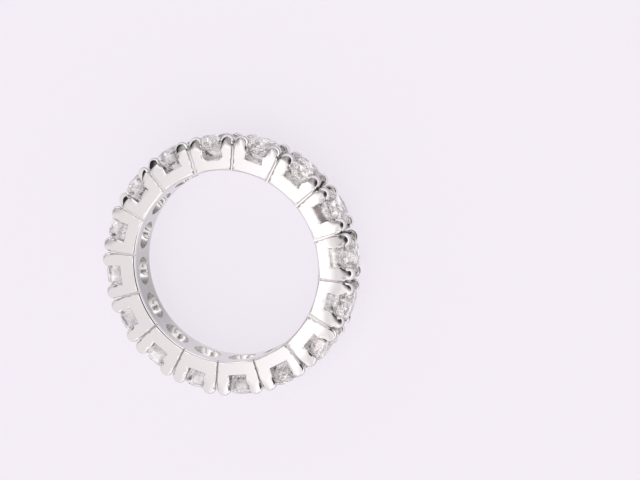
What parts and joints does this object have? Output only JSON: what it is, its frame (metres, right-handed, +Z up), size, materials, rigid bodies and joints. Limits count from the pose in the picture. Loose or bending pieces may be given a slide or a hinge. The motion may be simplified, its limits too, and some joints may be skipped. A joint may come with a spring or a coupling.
{
  "type": "diamond wedding band",
  "caption": "Full eternity band lying on its side: a flat-sided white metal ring of square open settings with four prongs each, holding round brilliant stones all the way round.",
  "frame": {"origin": "centre of the ring in the plane of the flat side it lies on", "axes": "+Z up along the axis of the finger hole, +X through the middle of the first stone"},
  "size_m": [0.0234, 0.0234, 0.0037],
  "materials": {
    "white_gold": "mirror polished white gold with fine wear scratches",
    "diamond": "clear faceted diamond"
  },
  "bodies": {
    "root": {"band": "white_gold", "diamond_01": "diamond", "diamond_02": "diamond", "diamond_03": "diamond", "diamond_04": "diamond", "diamond_05": "diamond", "diamond_06": "diamond", "diamond_07": "diamond", "diamond_08": "diamond", "diamond_09": "diamond", "diamond_10": "diamond", "diamond_11": "diamond", "diamond_12": "diamond", "diamond_13": "diamond", "diamond_14": "diamond", "diamond_15": "diamond", "diamond_16": "diamond"}
  },
  "joints": []
}
